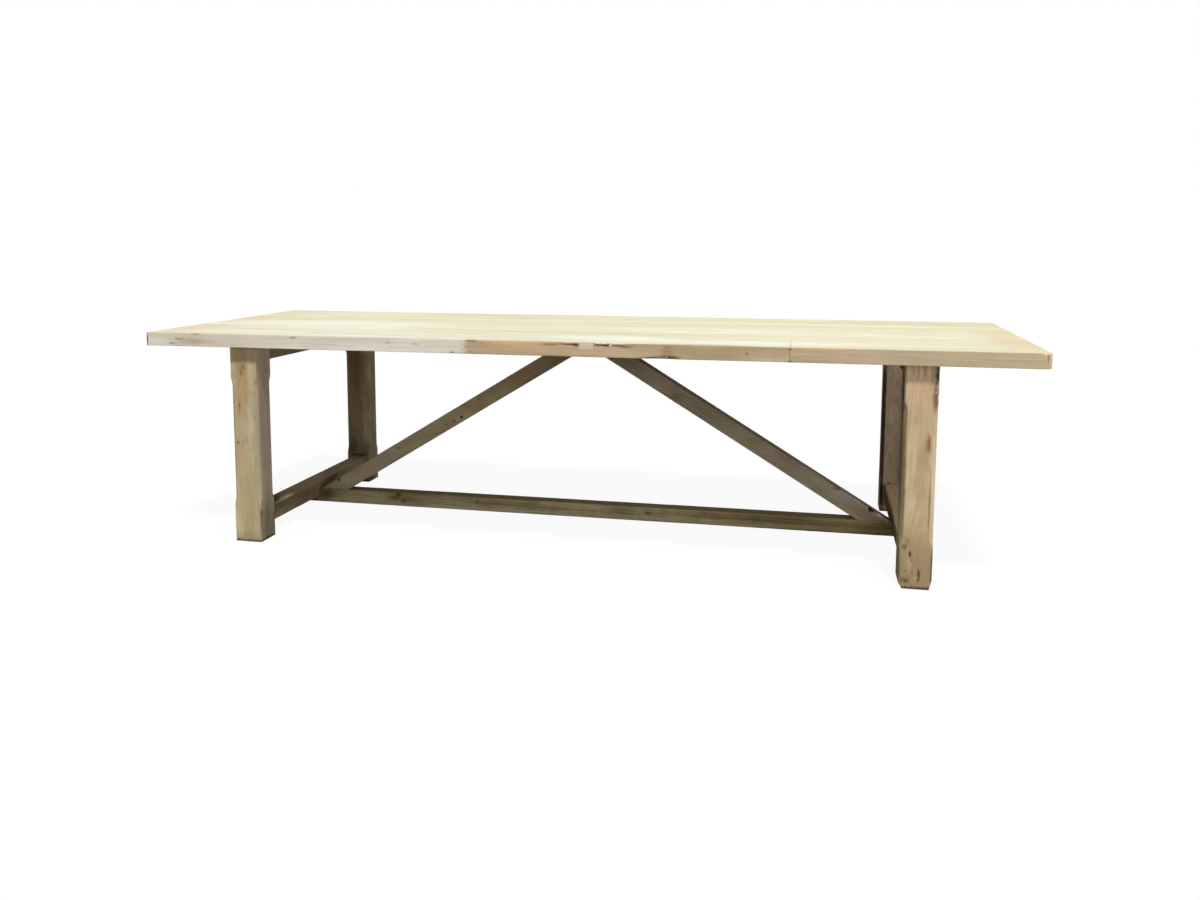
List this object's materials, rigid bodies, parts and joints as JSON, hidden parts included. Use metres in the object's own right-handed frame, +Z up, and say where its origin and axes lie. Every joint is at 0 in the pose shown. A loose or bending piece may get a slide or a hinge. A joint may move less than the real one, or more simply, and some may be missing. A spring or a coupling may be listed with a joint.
{
  "type": "refectory table",
  "caption": "Long plank-topped refectory table on stop-chamfered posts, with pegged cross rails, a low stretcher and slanted braces that meet under the middle of the top.",
  "frame": {"origin": "on the floor under the middle of the top", "axes": "+X along the table to the right, +Y from the front to the back, +Z up"},
  "size_m": [3, 1.1, 0.75],
  "materials": {
    "limed_top_wood": "sanded, bleached and limed old planks, matt",
    "weathered_frame_wood": "weathered old beams with knots, nail holes and worn arrises, matt",
    "peg_wood": "plain straight-grained hardwood, matt",
    "screw_steel": "plain steel, slightly dulled"
  },
  "bodies": {
    "root": {"top_board_1_left": "limed_top_wood", "top_board_1_right": "limed_top_wood", "top_board_2": "limed_top_wood", "top_board_3": "limed_top_wood", "top_board_4": "limed_top_wood", "top_board_5": "limed_top_wood", "top_board_6": "limed_top_wood", "leg_front_left": "weathered_frame_wood", "leg_front_right": "weathered_frame_wood", "leg_back_left": "weathered_frame_wood", "leg_back_right": "weathered_frame_wood", "top_rail_left": "weathered_frame_wood", "top_rail_right": "weathered_frame_wood", "lower_rail_left": "weathered_frame_wood", "lower_rail_right": "weathered_frame_wood", "stretcher": "weathered_frame_wood", "brace_left": "weathered_frame_wood", "brace_right": "weathered_frame_wood", "top_tongue_1": "peg_wood", "top_tongue_2": "peg_wood", "top_tongue_3": "peg_wood", "top_tongue_4": "peg_wood", "top_tongue_5": "peg_wood", "butt_joint_dowels": "peg_wood", "top_rail_pegs": "peg_wood", "lower_rail_pegs": "peg_wood", "stretcher_pegs": "peg_wood", "top_screws": "screw_steel", "brace_foot_screws": "screw_steel", "brace_head_screws": "screw_steel"}
  },
  "joints": []
}
